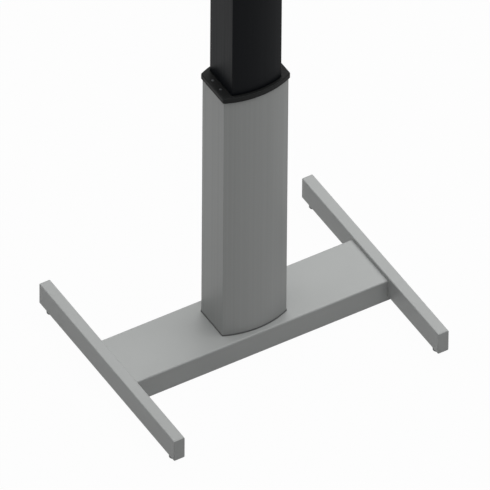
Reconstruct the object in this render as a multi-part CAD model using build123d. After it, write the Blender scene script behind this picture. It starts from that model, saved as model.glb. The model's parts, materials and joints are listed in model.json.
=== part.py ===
from build123d import *
from math import acos, cos, pi, radians, sin, sqrt, tan
import os

# Height-adjustable table base: an H of two foot tubes and a folded cross beam, one telescopic column
# with the drive inside its upper tube, and above it a frame that carries the table top.
# Lengths are in millimetres. +Z is up, +X runs along the cross beam, and the front faces -Y.
# The origin lies on the floor under the column's axis. The column is modelled raised.

# Foot tubes, one at each end of the beam, running front to back
foot_spacing = 605
foot_length = 525
foot_width = 25
foot_height = 53
foot_wall = 2
foot_corner = 3
cap_head = 2
cap_plug = 13
cap_wall = 2
cap_edge = 1.4
cap_fit = 0.1

# Glides under the ends of the foot tubes
glide_inset = 24
glide_pad_radius = 8.5
glide_pad_height = 7
glide_pad_edge = 1.2
glide_collar_height = 5
glide_ball_radius = 4.5
glide_thread_length = 28

# Cross beam, a channel open underneath, with toes that reach under the foot tubes
beam_depth = 140
beam_wall = 3
beam_bend = 4
beam_step = 10
toe_drop = 10
toe_reach = 12
beam_lip = 12
bracket_thickness = 5
bracket_bend = 4
bracket_side_gap = 0.4
beam_bolt_spacing = 80
beam_bolt_rise = 20
stiffener_length = 156
stiffener_depth = 120
stiffener_thickness = 6

# Outer column, its base plate and its collar
column_width = 147
column_depth = 115
column_side_flat = 83
column_corner = 2
column_wall = 3
outer_column_length = 632
base_plate_thickness = 3
base_plate_margin = 1.2
collar_margin = 3
collar_skirt = 8
collar_plate = 4
collar_edge = 2.4
collar_opening_gap = 0.9
collar_skirt_gap = 0.1
outer_port_radius = 5.5
outer_port_spacing = 30
outer_port_bore = 2.1
port_overlap = 0.6
base_thread_depth = 32
base_thread_spare = 2

# Inner column and the guides that it slides in
inner_width = 112
inner_depth = 105
inner_side_flat = 86
inner_corner = 2
inner_wall = 3
inner_foot_gap = 21
head_gap = 5
inner_port_radius = 5.2
guide_seat_gap = 0.1
guide_running_gap = 0.3
guide_port_gap = 0.6
guide_pocket_wall = 2.4
upper_guide_length = 60
lower_guide_length = 50
lower_guide_flange = 4
lower_guide_ledge = 7
guide_stop_gap = 1
raise_left = 50

# Spindle drive
spindle_x = 18
spindle_radius = 8
spindle_tip = 2
journal_radius = 6
journal_top = 6
journal_tip = 0.8
nut_running_gap = 0.05
nut_body_length = 30
nut_flange_radius = 17
nut_flange = 6
nut_head_gap = 28
nut_full_height_gap = 4
tube_radius = 14
tube_wall = 2.2
tube_flange_radius = 25
tube_flange = 5
tube_screw_circle = 20
tube_screw_spare = 0.5
gear_module = 1.25
spindle_teeth = 40
pinion_teeth = 24
tooth_backlash = 0.16
gear_width = 12
pinion_width = 13
gear_hub_radius = 9
gear_hub_gap = 1
gear_web_holes = 5
gear_web_hole_radius = 4
shaft_fit = 0.02
bearing_outer_radius = 14
bearing_width = 8
bearing_land = 2.8
ball_radius = 2
ball_count = 8
ball_gap = 0.05
case_height = 26
case_floor = 4
case_wall = 2.5
case_gap = 1.2
case_flange = 4
case_boss_radius = 5.5
case_flange_corner = 6.5
case_boss_length = 14
case_thread_spare = 4
case_screw_x = (-38, 40)
case_screw_y = 28
gear_floor_gap = 2
gearbox_radius = 19
gearbox_length = 34
gearbox_edge = 1
gearbox_groove_depth = 0.8
gearbox_groove_width = 2
gearbox_spigot = 7
gearbox_spigot_height = 4
motor_radius = 18
motor_length = 72
motor_cap_length = 12
motor_cap_step = 1.5
motor_cap_edge = 2
terminal_length = 5
terminal_width = 4.8
terminal_thickness = 0.8
motor_screw_circle = 14
shaft_radius = 4
shaft_flat = 1
shaft_socket = 19
shaft_end_gap = 1

# Head plate and the frame for the table top
head_length = 150
head_depth = 112
head_corner = 8
head_thickness = 6
tray_length = 320
tray_depth = 110
tray_height = 34
tray_wall = 3
tray_bend = 4
frame_bolt_x = 66
frame_bolt_y = 40
lead_hole_radius = 5
lead_hole_y = -42
lead_slot_inset = 66
lead_slot_length = 60
lead_slot_width = 16
arm_width = 40
arm_length = 420
arm_wall = 3
arm_bend = 4
arm_tip_height = 16
arm_full_length = 160
arm_hole_radius = 3.5
arm_hole_spacing = 190
arm_bolt_spacing = 60

# Control box in the top channel
box_bolt_gap = 3
box_frame_gap = 0.5
box_depth = 92
box_height = 24
box_wall = 2
box_corner = 4
board_gap = 2
board_thickness = 1.6
board_fit = 0.5
board_post_radius = 3
board_post_gap = 1
header_length = 12
header_gap = 1
inlet_length = 22
inlet_depth = 20
inlet_height = 13
inlet_fit = 0.2
inlet_gap = 1
inlet_back = 6
inlet_recess_depth = 15.6
inlet_recess_height = 8.6
inlet_pin_radius = 1.2
inlet_pin_spacing = 8.6
inlet_pin_inset = 3
plug_width = 12
plug_height = 8
plug_spacing = 20
plug_gap = 2
plug_clearance = 0.5
cooling_slots = 7
cooling_slot_length = 40
cooling_slot_width = 3
cooling_slot_margin = 14

# Hand control at the front end of the right arm
hand_width = 70
hand_depth = 46
hand_height = 18
hand_wall = 2
hand_corner = 5
hand_bottom_edge = 2
hand_drop = 1
hand_gap = 2
tongue_width = 30
tongue_depth = 24
tongue_height = 10
hand_screw_inset = 12
hand_screw_spare = 0.5
button_width = 20
button_height = 9
button_spacing = 30
button_travel = 1.2
button_proud = 0.6
button_flange = 1.5
button_flange_margin = 1
button_corner = 1.5
button_edge = 0.8
button_fit = 0.3
button_stem = 8
button_stem_radius = 1.5

# Threaded parts: radii of thread, clearance hole, head or nut across flats, and heights
thread_gap = 0.05
hole_gap = 0.4
overcut = 1
bolt_past_nut = 1
m8 = 4
m8_flats = 13
m8_head = 5.3
m8_nut = 6.5
m6 = 3
m6_flats = 10
m6_head = 4
m6_nut = 5
m6_countersink = 6
m5 = 2.5
m5_head = 4.5
m5_head_height = 3.5
m4_head = 3.6
m4_head_height = 2.4
m4 = 2
collar_screw_head = 2.8
collar_screw_head_height = 1.6
collar_screw_length = 20
collar_screw_sink = 0.2
motor_screw = 1.5
motor_screw_head = 2.8
motor_screw_head_height = 2
motor_screw_sink = 0.3
motor_screw_depth = 6
motor_screw_spare = 1

# Heights of the fixed parts
foot_bottom = glide_pad_height + glide_collar_height
foot_top = foot_bottom + foot_height
beam_top = foot_top - beam_step
beam_bottom = foot_bottom - toe_drop
beam_length = foot_spacing - foot_width
column_foot = beam_top + base_plate_thickness
column_top = column_foot + outer_column_length
collar_top = column_top + collar_plate
stiffener_bottom = beam_top - beam_wall - stiffener_thickness
foot_x = foot_spacing / 2
beam_end = beam_length / 2

# Travel of the column, from the lengths of its tubes and guides
lowered_head = collar_top + head_gap
lowered_foot = column_foot + inner_foot_gap
inner_length = lowered_head - lowered_foot
upper_guide_bottom = column_top - upper_guide_length
stroke = upper_guide_bottom - guide_stop_gap - lowered_foot - lower_guide_length
raised = stroke - raise_left
head = lowered_head + raised
inner_foot = lowered_foot + raised

# Gear train, with every height taken from the underside of the head plate
gear_distance = gear_module * (spindle_teeth + pinion_teeth) / 2
motor_x = spindle_x - gear_distance
case_bottom = head - case_height
case_floor_top = case_bottom + case_floor
gear_bottom = case_floor_top + gear_floor_gap
bearing_top = case_bottom - case_floor
bearing_bottom = bearing_top - bearing_width
journal_end = head - journal_top
ball_circle = (journal_radius + bearing_outer_radius) / 2
motor_top = case_bottom - gearbox_length
nut_top = bearing_bottom - raised - nut_head_gap
tube_top = nut_top - nut_flange
nut_bottom = tube_top - nut_body_length
spindle_bottom = nut_bottom - nut_full_height_gap - raise_left

# Frame above the head plate
head_top = head + head_thickness
tray_floor = head_top + tray_wall
frame_top = head_top + tray_height
lead_slot_x = lead_slot_inset - tray_length / 2
arm_x = tray_length / 2 + arm_width / 2
arm_underside = frame_top - arm_wall
arm_bolt_height = head_top + tray_height / 2
box_left = frame_bolt_x + m8_flats / sqrt(3) + box_frame_gap
box_right = tray_length / 2 - tray_wall - m6_head - box_bolt_gap
box_length = box_right - box_left
box_x = (box_left + box_right) / 2
cooling_slot_pitch = (box_length - 2 * cooling_slot_margin) / (cooling_slots - 1)
hand_y = -(arm_length / 2 + hand_gap + hand_depth / 2)
hand_top = frame_top - hand_drop
hand_bottom = hand_top - hand_height
button_z = hand_bottom + (hand_height - hand_wall) / 2
button_face = hand_y - hand_depth / 2
button_out = button_travel + button_proud


def rod(radius, height):
    """Round bar that stands on z = 0."""
    return extrude(Circle(radius), height)


def pipe(radius, bore, height):
    """Round tube that stands on z = 0."""
    return extrude(Circle(radius) - Circle(bore), height)


def block(length, depth, height):
    """Block centred on x and y that stands on z = 0."""
    return extrude(Rectangle(length, depth), height)


def rounded_block(length, depth, height, corner):
    """Block with rounded upright edges."""
    return extrude(RectangleRounded(length, depth, corner), height)


def hexagon(flats):
    return RegularPolygon(flats / 2, 6, major_radius=False)


def hex_bolt(radius, flats, head_height, length):
    """Bolt with its head under z = 0 and its shank above."""
    return Pos(0, 0, -head_height) * extrude(hexagon(flats), head_height) + rod(radius, length)


def hex_nut(radius, flats, height):
    return extrude(hexagon(flats) - Circle(radius), height)


def round_screw(radius, head_radius, head_height, length):
    """Screw with a round head on z = 0 and its shank below."""
    return rod(head_radius, head_height) + Pos(0, 0, -length) * rod(radius, length)


def along_x(part):
    """Turn a part that was built along +Z to run along +X."""
    return Rot(0, 90, 0) * part


def along_y(part):
    """Turn a part that was built along +Z to run along +Y."""
    return Rot(-90, 0, 0) * part


def bow_radius(width, depth, side_flat):
    """Radius of the bowed front that meets the flat sides."""
    bow = (depth - side_flat) / 2
    return (bow**2 + (width / 2) ** 2) / (2 * bow)


def column_outline(width, depth, side_flat, corner, grow):
    """Outline with flat sides and bowed front and back, moved outward by grow."""
    radius = bow_radius(width, depth, side_flat) + grow
    side = width / 2 + grow
    front = depth / 2 + grow
    edge = front - radius + sqrt(radius**2 - side**2)
    outline = make_face(
        [
            ThreePointArc((-side, -edge), (0, -front), (side, -edge)),
            Line((side, -edge), (side, edge)),
            ThreePointArc((side, edge), (0, front), (-side, edge)),
            Line((-side, edge), (-side, -edge)),
        ]
    )
    rounding = corner + grow
    return fillet(outline.vertices(), rounding) if rounding > 0 else outline


def outer_outline(grow=0.0):
    return column_outline(column_width, column_depth, column_side_flat, column_corner, grow)


def inner_outline(grow=0.0):
    return column_outline(inner_width, inner_depth, inner_side_flat, inner_corner, grow)


def outer_ports():
    """Places of the screw ports on the inside of the outer column's flat sides."""
    x = column_width / 2 - column_wall - outer_port_radius + port_overlap
    return [Pos(side * x, end * outer_port_spacing / 2) for side in (-1, 1) for end in (-1, 1)]


def inner_ports():
    """Places of the screw ports in the corners of the inner column."""
    radius = bow_radius(inner_width, inner_depth, inner_side_flat) - inner_wall
    reach = inner_port_radius - port_overlap
    x = inner_width / 2 - inner_wall - reach
    y = inner_depth / 2 - inner_wall - radius + sqrt((radius - reach) ** 2 - x**2)
    return [Pos(side * x, end * y) for side in (-1, 1) for end in (-1, 1)]


def case_screws():
    return [Pos(x, end * case_screw_y) for x in case_screw_x for end in (-1, 1)]


def tube_screws():
    """Three places round the foot of the nut tube."""
    turns = [radians(90 + 120 * turn) for turn in range(3)]
    return [
        Pos(spindle_x + tube_screw_circle * cos(turn), tube_screw_circle * sin(turn)) for turn in turns
    ]


def motor_screws():
    turns = [radians(45 + 90 * turn) for turn in range(4)]
    return [
        Pos(motor_x + motor_screw_circle * cos(turn), motor_screw_circle * sin(turn)) for turn in turns
    ]


def frame_bolts():
    return [Pos(x, y) for x in (-frame_bolt_x, frame_bolt_x) for y in (-frame_bolt_y, frame_bolt_y)]


def beam_bolt_places():
    """Y and Z of the bolts that hold the right foot tube."""
    height = foot_bottom + beam_bolt_rise
    return [(end * beam_bolt_spacing / 2, height) for end in (-1, 1)]


def glide_y():
    return foot_length / 2 - glide_inset


def drill(part, places, radius):
    """Cut upright holes right through a part at the given places."""
    extent = part.bounding_box()
    hole = Pos(0, 0, extent.min.Z - overcut) * rod(radius, extent.size.Z + 2 * overcut)
    for place in places:
        part -= place * hole
    return part


def both_sides(part):
    """A part on the right and its mirror image on the left."""
    return [part, mirror(part, about=Plane.YZ)]


def foot_tube():
    """Right foot tube with holes for the bolts in its inner wall and for the glides below."""
    length = foot_length - 2 * cap_head
    section = RectangleRounded(foot_width, foot_height, foot_corner) - RectangleRounded(
        foot_width - 2 * foot_wall, foot_height - 2 * foot_wall, foot_corner - foot_wall
    )
    tube = Pos(foot_x, -length / 2, foot_bottom + foot_height / 2) * along_y(extrude(section, length))
    for y, z in beam_bolt_places():
        tube -= Pos(beam_end - overcut, y, z) * along_x(rod(m8 + hole_gap, foot_wall + 2 * overcut))
    for end in (-1, 1):
        hole = rod(m8 + hole_gap, foot_wall + 2 * overcut)
        tube -= Pos(foot_x, end * glide_y(), foot_bottom - overcut) * hole
    return tube


def foot_end_cap():
    """Plastic cap in the front end of the right foot tube."""
    core_width = foot_width - 2 * foot_wall - 2 * cap_fit
    core_height = foot_height - 2 * foot_wall - 2 * cap_fit
    face = rounded_block(foot_width, foot_height, cap_head, foot_corner)
    face = fillet(face.edges().group_by(Axis.Z)[0], cap_edge)
    plug = RectangleRounded(core_width, core_height, foot_corner - foot_wall - cap_fit)
    plug -= Rectangle(core_width - 2 * cap_wall, core_height - 2 * cap_wall)
    web = Rectangle(core_width - 2 * cap_wall, cap_wall)
    cap = face + Pos(0, 0, cap_head) * extrude(plug + web, cap_plug)
    return Pos(foot_x, -foot_length / 2, foot_bottom + foot_height / 2) * along_y(cap)


def foot_weld_nuts():
    """Eight nuts welded inside the foot tubes, for the beam bolts and for the glides."""
    nut = hex_nut(m8, m8_flats, m8_nut)
    on_the_right = [
        Pos(beam_end + foot_wall, y, z) * along_x(nut) for y, z in beam_bolt_places()
    ] + [Pos(foot_x, end * glide_y(), foot_bottom + foot_wall) * nut for end in (-1, 1)]
    return [solid for nut_right in on_the_right for solid in both_sides(nut_right)]


def glide_stud():
    """Threaded stud with a hexagon to turn it and a ball that snaps into the pad."""
    ball_height = glide_pad_height - glide_ball_radius
    stud = Pos(0, 0, ball_height) * rod(glide_ball_radius, glide_ball_radius)
    stud += Pos(0, 0, glide_pad_height) * extrude(hexagon(m8_flats), glide_collar_height)
    stud += Pos(0, 0, foot_bottom) * rod(m8 - thread_gap, glide_thread_length)
    return stud


def glide_pad():
    """Round plastic pad with a socket for the stud's ball."""
    pad = rod(glide_pad_radius, glide_pad_height)
    pad = chamfer(pad.edges().group_by(Axis.Z)[0], glide_pad_edge)
    pad = fillet(pad.edges().group_by(Axis.Z)[-1], glide_pad_edge)
    socket = rod(glide_ball_radius + thread_gap, glide_ball_radius + overcut)
    return pad - Pos(0, 0, glide_pad_height - glide_ball_radius) * socket


def cross_beam():
    """Sheet folded to a channel, with return lips below and toes under the foot tubes."""
    height = beam_top - beam_bottom
    length = beam_length + 2 * toe_reach
    beam = block(length, beam_depth, height)
    beam = fillet(beam.edges().filter_by(Axis.X).group_by(Axis.Z)[-1], beam_bend)
    hollow = Pos(0, 0, beam_wall) * block(length, beam_depth - 2 * beam_wall, height - 2 * beam_wall)
    hollow = fillet(hollow.edges().filter_by(Axis.X).group_by(Axis.Z)[-1], beam_bend - beam_wall)
    mouth = block(length, beam_depth - 2 * beam_wall - 2 * beam_lip, beam_wall)
    beam = Pos(0, 0, beam_bottom) * (beam - hollow - mouth)
    for side in (-1, 1):
        seat = block(foot_width, beam_depth, height)
        beam -= Pos(side * foot_x, 0, foot_bottom) * seat
    beam = drill(beam, outer_ports(), m6 + hole_gap)
    return drill(beam, tube_screws(), m5 + hole_gap)


def beam_end_bracket():
    """Angle welded into the right end of the beam, bolted to the foot tube that stands on its toe."""
    depth = beam_depth - 2 * beam_wall - 2 * bracket_side_gap
    upright = beam_top - beam_wall - bracket_side_gap - foot_bottom
    side = Pos(beam_end - bracket_thickness / 2, 0, foot_bottom) * block(
        bracket_thickness, depth, upright
    )
    toe_length = bracket_thickness + toe_reach
    toe = Pos(beam_end - bracket_thickness + toe_length / 2, 0, foot_bottom - bracket_thickness)
    bracket = side + toe * block(toe_length, depth, bracket_thickness)
    outer_bend = bracket.edges().filter_by(Axis.Y).group_by(Axis.Z)[0].sort_by(Axis.X)[0]
    bracket = fillet(outer_bend, bracket_bend)
    for y, z in beam_bolt_places():
        hole = along_x(rod(m8 + hole_gap, bracket_thickness + 2 * overcut))
        bracket -= Pos(beam_end - bracket_thickness - overcut, y, z) * hole
    return bracket


def beam_bolts():
    """Bolts from inside the beam through the brackets into the foot tubes."""
    length = bracket_thickness + foot_wall + m8_nut + bolt_past_nut
    bolt = along_x(hex_bolt(m8 - thread_gap, m8_flats, m8_head, length))
    on_the_right = [Pos(beam_end - bracket_thickness, y, z) * bolt for y, z in beam_bolt_places()]
    return [solid for bolt_right in on_the_right for solid in both_sides(bolt_right)]


def column_stiffener_plate():
    """Plate under the beam's top that spreads the column's load."""
    plate = Pos(0, 0, stiffener_bottom) * block(
        stiffener_length, stiffener_depth, stiffener_thickness
    )
    plate = drill(plate, outer_ports(), m6 + hole_gap)
    return drill(plate, tube_screws(), m5 + hole_gap)


def column_base_plate():
    """Dark plate between the beam and the column, a little wider than the column."""
    plate = Pos(0, 0, beam_top) * extrude(outer_outline(base_plate_margin), base_plate_thickness)
    plate = drill(plate, outer_ports(), m6 + hole_gap)
    return drill(plate, tube_screws(), m5 + hole_gap)


def column_base_screws():
    """Screws from below into the ends of the column's ports."""
    length = column_foot + base_thread_depth - base_thread_spare - stiffener_bottom
    screw = Pos(0, 0, stiffener_bottom) * hex_bolt(m6 - thread_gap, m6_flats, m6_head, length)
    return [place * screw for place in outer_ports()]


def outer_column():
    """Extruded column with four screw ports inside, tapped at its foot."""
    section = outer_outline() - outer_outline(-column_wall)
    for place in outer_ports():
        section += place * Circle(outer_port_radius)
    for place in outer_ports():
        section -= place * Circle(outer_port_bore)
    column = Pos(0, 0, column_foot) * extrude(section, outer_column_length)
    for place in outer_ports():
        column -= place * Pos(0, 0, column_foot) * rod(m6, base_thread_depth)
    return column


def collar():
    """Moulded collar with a skirt outside the column and an opening for the inner column."""
    skirt_bottom = column_top - collar_skirt
    body = extrude(outer_outline(collar_margin), collar_skirt + collar_plate)
    body = fillet(body.edges().group_by(Axis.Z)[-1], collar_edge)
    body -= extrude(outer_outline(collar_skirt_gap), collar_skirt)
    body -= extrude(inner_outline(collar_opening_gap), collar_skirt + collar_plate)
    body = Pos(0, 0, skirt_bottom) * body
    body = drill(body, outer_ports(), m4 + hole_gap / 2)
    recess_depth = collar_screw_head_height + collar_screw_sink
    recess = Pos(0, 0, collar_top - recess_depth) * rod(collar_screw_head + hole_gap, recess_depth)
    for place in outer_ports():
        body -= place * recess
    return body


def collar_screws():
    seat = collar_top - collar_screw_head_height - collar_screw_sink
    screw = round_screw(
        m4 - thread_gap, collar_screw_head, collar_screw_head_height, collar_screw_length
    )
    return [place * Pos(0, 0, seat) * screw for place in outer_ports()]


def guide_ring(outer_face, inner_face, length):
    """Moulded ring between the two columns, notched for the ports and with pockets in its sides."""
    ring = outer_face - inner_face
    reach = outer_port_radius + guide_port_gap
    for place in outer_ports():
        side = 1 if place.position.X > 0 else -1
        outward = column_width / 2 - abs(place.position.X)
        notch = Rectangle(outward + reach, 2 * reach)
        ring -= place * Pos(side * (outward - reach) / 2, 0) * notch
    pocket_length = (column_width - inner_width) / 2 - column_wall - 2 * guide_pocket_wall
    pocket_x = (column_width / 2 - column_wall + inner_width / 2) / 2
    free_depth = outer_port_spacing - 2 * reach
    for side in (-1, 1):
        pocket = Rectangle(pocket_length, free_depth - 2 * guide_pocket_wall)
        ring -= Pos(side * pocket_x, 0) * pocket
    return extrude(ring, length)


def upper_guide_bush():
    """Guide that stands still in the top of the outer column."""
    ring = guide_ring(
        outer_outline(-column_wall - guide_seat_gap), inner_outline(guide_running_gap), upper_guide_length
    )
    return Pos(0, 0, upper_guide_bottom) * ring


def lower_guide_bush():
    """Guide on the foot of the inner column, with a flange that carries the column's end."""
    outer_face = outer_outline(-column_wall - guide_running_gap)
    sleeve = guide_ring(outer_face, inner_outline(guide_seat_gap), lower_guide_length)
    flange = guide_ring(outer_face, inner_outline(-lower_guide_ledge), lower_guide_flange)
    bush = sleeve + Pos(0, 0, -lower_guide_flange) * flange
    return Pos(0, 0, inner_foot) * bush


def nut_tube():
    """Tube that stands on the beam inside the column and holds the spindle nut at its top."""
    height = tube_top - column_foot
    tube = rod(tube_radius, height) + rod(tube_flange_radius, tube_flange)
    weld = tube.edges().filter_by(GeomType.CIRCLE).group_by(Axis.Z)[1].sort_by(SortBy.RADIUS)[0]
    tube = chamfer(weld, tube_wall)
    tube -= rod(tube_radius - tube_wall, height)
    for place in tube_screws():
        tube -= Pos(-spindle_x, 0) * place * rod(m5, tube_flange)
    return Pos(spindle_x, 0, column_foot) * tube


def nut_tube_screws():
    length = column_foot + tube_flange - tube_screw_spare - stiffener_bottom
    screw = Rot(180, 0, 0) * round_screw(m5 - thread_gap, m5_head, m5_head_height, length)
    return [place * Pos(0, 0, stiffener_bottom) * screw for place in tube_screws()]


def spindle_nut():
    """Plastic nut with a flange on the top of the nut tube."""
    nut = rod(nut_flange_radius, nut_flange)
    nut += Pos(0, 0, -nut_body_length) * rod(tube_radius - tube_wall - thread_gap, nut_body_length)
    nut -= Pos(0, 0, -nut_body_length) * rod(
        spindle_radius + nut_running_gap, nut_body_length + nut_flange
    )
    return Pos(spindle_x, 0, tube_top) * nut


def inner_column():
    """Extruded inner column with four screw ports in its corners."""
    section = inner_outline() - inner_outline(-inner_wall)
    for place in inner_ports():
        section += place * Circle(inner_port_radius)
    for place in inner_ports():
        section -= place * Circle(m6)
    return Pos(0, 0, inner_foot) * extrude(section, inner_length)


def head_plate():
    """Steel plate that closes the inner column and carries the gear case and the frame."""
    plate = Pos(0, 0, head) * rounded_block(head_length, head_depth, head_thickness, head_corner)
    plate = drill(plate, inner_ports() + case_screws(), m6 + hole_gap)
    sink_depth = m6_countersink - m6
    sink = Cone(m6, m6_countersink + hole_gap, sink_depth + hole_gap)
    for place in inner_ports() + case_screws():
        plate -= place * Pos(0, 0, head_top - (sink_depth + hole_gap) / 2) * sink
    plate = drill(plate, [Pos(0, lead_hole_y)], lead_hole_radius)
    return drill(plate, frame_bolts(), m8)


def head_plate_screws():
    """Countersunk screws, four into the inner column and four into the gear case."""
    sink_depth = m6_countersink - m6
    screw = Pos(0, 0, -sink_depth / 2) * Cone(m6, m6_countersink, sink_depth)
    length = head_thickness + case_boss_length - case_thread_spare
    screw += Pos(0, 0, -length) * rod(m6 - thread_gap, length)
    return [place * Pos(0, 0, head_top - hole_gap / 2) * screw for place in inner_ports() + case_screws()]


def case_outline(grow):
    """Outline round both gears, moved outward from their tips by grow."""
    gear_tip = gear_module * (spindle_teeth / 2 + 1)
    pinion_tip = gear_module * (pinion_teeth / 2 + 1)
    around_gear = Pos(spindle_x, 0) * Circle(gear_tip + grow)
    around_pinion = Pos(motor_x, 0) * Circle(pinion_tip + grow)
    return make_hull([*around_gear.edges(), *around_pinion.edges()])


def gear_case():
    """Open cup round the gears, with a bearing boss below and a flange for its screws."""
    case = extrude(case_outline(case_gap + case_wall), case_height)
    flange_length = case_screw_x[1] - case_screw_x[0] + 2 * case_flange_corner
    flange_depth = 2 * (case_screw_y + case_flange_corner)
    flange_x = (case_screw_x[0] + case_screw_x[1]) / 2
    case += Pos(flange_x, 0, case_height - case_flange) * rounded_block(
        flange_length, flange_depth, case_flange, case_flange_corner
    )
    for place in case_screws():
        boss = rod(case_boss_radius, case_boss_length)
        case += place * Pos(0, 0, case_height - case_boss_length) * boss
    bearing_depth = case_floor + bearing_width
    case += Pos(spindle_x, 0, -bearing_depth) * rod(bearing_outer_radius + case_wall, bearing_depth)
    case -= Pos(0, 0, case_floor) * extrude(case_outline(case_gap), case_height)
    for place in case_screws():
        case -= place * Pos(0, 0, case_height - case_boss_length) * rod(m6, case_boss_length)
    case -= Pos(spindle_x, 0, -bearing_depth) * rod(bearing_outer_radius + shaft_fit, bearing_width)
    case -= Pos(spindle_x, 0, -bearing_depth) * rod(gear_hub_radius + gear_hub_gap, case_height)
    case -= Pos(motor_x, 0) * rod(gearbox_spigot + shaft_fit, case_floor)
    recess = Pos(0, 0, case_floor - motor_screw_head_height) * rod(
        motor_screw_head + hole_gap, motor_screw_head_height
    )
    for place in motor_screws():
        case -= place * (rod(motor_screw + hole_gap / 2, case_floor) + recess)
    return Pos(0, 0, case_bottom) * case


def gearbox():
    """Planetary gearbox between the motor and the gear case."""
    box = rod(gearbox_radius, gearbox_length)
    box = chamfer(box.edges().group_by(Axis.Z)[0], gearbox_edge)
    groove = pipe(gearbox_radius, gearbox_radius - gearbox_groove_depth, gearbox_groove_width)
    for height in (gearbox_length / 3, gearbox_length * 2 / 3):
        box -= Pos(0, 0, height) * groove
    box += Pos(0, 0, gearbox_length) * rod(gearbox_spigot, gearbox_spigot_height)
    box = Pos(motor_x, 0, motor_top) * box
    socket_top = case_bottom + gearbox_spigot_height
    box -= Pos(motor_x, 0, socket_top - shaft_socket) * rod(shaft_radius + nut_running_gap, shaft_socket)
    for place in motor_screws():
        box -= place * Pos(0, 0, case_bottom - motor_screw_depth) * rod(motor_screw, motor_screw_depth)
    return box


def motor_screw_set():
    seat = case_floor_top - motor_screw_head_height
    head_height = motor_screw_head_height - motor_screw_sink
    length = motor_screw_depth + case_floor - motor_screw_head_height
    screw = round_screw(
        motor_screw - thread_gap, motor_screw_head, head_height, length - motor_screw_spare
    )
    return [place * Pos(0, 0, seat) * screw for place in motor_screws()]


def drive_motor():
    """Motor can with its end cap and two terminals below."""
    can = Pos(0, 0, motor_cap_length) * rod(motor_radius, motor_length - motor_cap_length)
    cap = rod(motor_radius - motor_cap_step, motor_cap_length)
    cap = fillet(cap.edges().group_by(Axis.Z)[0], motor_cap_edge)
    terminal = block(terminal_thickness, terminal_width, terminal_length)
    terminal = Pos(0, 0, -terminal_length) * terminal
    motor = can + cap
    for side in (-1, 1):
        motor += Pos(side * motor_radius / 2, 0) * terminal
    return Pos(motor_x, 0, motor_top - motor_length) * motor


def flat_sided(radius):
    """Circle with one flat, for a shaft that drives its pinion."""
    return Circle(radius) - Pos(radius, 0) * Rectangle(2 * shaft_flat, 2 * radius)


def gearbox_output_shaft():
    bottom = case_bottom + gearbox_spigot_height - shaft_socket + shaft_end_gap
    round_end = case_floor_top - bottom
    shaft = rod(shaft_radius, round_end)
    shaft += Pos(0, 0, round_end) * extrude(flat_sided(shaft_radius), journal_end - case_floor_top)
    return Pos(motor_x, 0, bottom) * shaft


def gear_outline(teeth, first_tooth):
    """Involute spur gear outline, with one tooth centred on the angle first_tooth."""
    pressure = radians(20)
    pitch_radius = gear_module * teeth / 2
    base_radius = pitch_radius * cos(pressure)
    root_radius = pitch_radius - 1.25 * gear_module
    tip_radius = pitch_radius + gear_module
    tooth_half = (pi * gear_module - tooth_backlash) / 4 / pitch_radius

    def half_angle(radius):
        turn = acos(base_radius / radius)
        return tooth_half + tan(pressure) - pressure - tan(turn) + turn

    flank_start = max(root_radius, base_radius)
    flank = [
        (root_radius, half_angle(flank_start)),
        (flank_start, half_angle(flank_start)),
        (pitch_radius, half_angle(pitch_radius)),
        (tip_radius, half_angle(tip_radius)),
    ]
    if root_radius >= base_radius:
        flank = flank[1:]
    points = []
    for tooth in range(teeth):
        centre = first_tooth + 2 * pi * tooth / teeth
        points += [(radius, centre - turn) for radius, turn in flank]
        points += [(radius, centre + turn) for radius, turn in reversed(flank)]
    return Polygon(*[(radius * cos(turn), radius * sin(turn)) for radius, turn in points], align=None)


def drive_pinion():
    """Pinion with a gap between teeth towards the spindle gear."""
    outline = gear_outline(pinion_teeth, pi / pinion_teeth) - flat_sided(shaft_radius + shaft_fit)
    overlap = (pinion_width - gear_width) / 2
    return Pos(motor_x, 0, gear_bottom - overlap) * extrude(outline, pinion_width)


def spindle_gear():
    """Gear keyed to the spindle, with a tooth towards the pinion and a hub down to the bearing."""
    bore = Circle(journal_radius + shaft_fit)
    gear = extrude(gear_outline(spindle_teeth, pi) - bore, gear_width)
    hub_height = gear_bottom - bearing_top
    gear += Pos(0, 0, -hub_height) * extrude(Circle(gear_hub_radius) - bore, hub_height)
    hole_circle = (gear_hub_radius + gear_module * spindle_teeth / 2) / 2
    for hole in range(gear_web_holes):
        turn = 2 * pi * hole / gear_web_holes
        place = Pos(hole_circle * cos(turn), hole_circle * sin(turn))
        gear -= place * rod(gear_web_hole_radius, gear_width)
    return Pos(spindle_x, 0, gear_bottom) * gear


def spindle():
    """Lead screw with a journal for the bearing and the gear at its top."""
    bearing_seat = bearing_bottom - spindle_bottom
    screw = rod(spindle_radius, bearing_seat)
    screw = chamfer(screw.edges().group_by(Axis.Z)[0], spindle_tip)
    journal = rod(journal_radius, journal_end - bearing_bottom)
    journal = chamfer(journal.edges().group_by(Axis.Z)[-1], journal_tip)
    return Pos(spindle_x, 0, spindle_bottom) * (screw + Pos(0, 0, bearing_seat) * journal)


def bearing_ring(outer, inner):
    """One ring of the ball bearing with a groove for the balls."""
    groove = Torus(ball_circle, ball_radius + ball_gap)
    ring = pipe(outer, inner, bearing_width) - Pos(0, 0, bearing_width / 2) * groove
    return Pos(spindle_x, 0, bearing_bottom) * ring


def bearing_outer_ring():
    return bearing_ring(bearing_outer_radius, bearing_outer_radius - bearing_land)


def bearing_inner_ring():
    return bearing_ring(journal_radius + bearing_land, journal_radius + shaft_fit)


def bearing_balls():
    turns = [2 * pi * ball / ball_count for ball in range(ball_count)]
    height = bearing_bottom + bearing_width / 2
    return [
        Pos(spindle_x + ball_circle * cos(turn), ball_circle * sin(turn), height) * Sphere(ball_radius)
        for turn in turns
    ]


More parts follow.
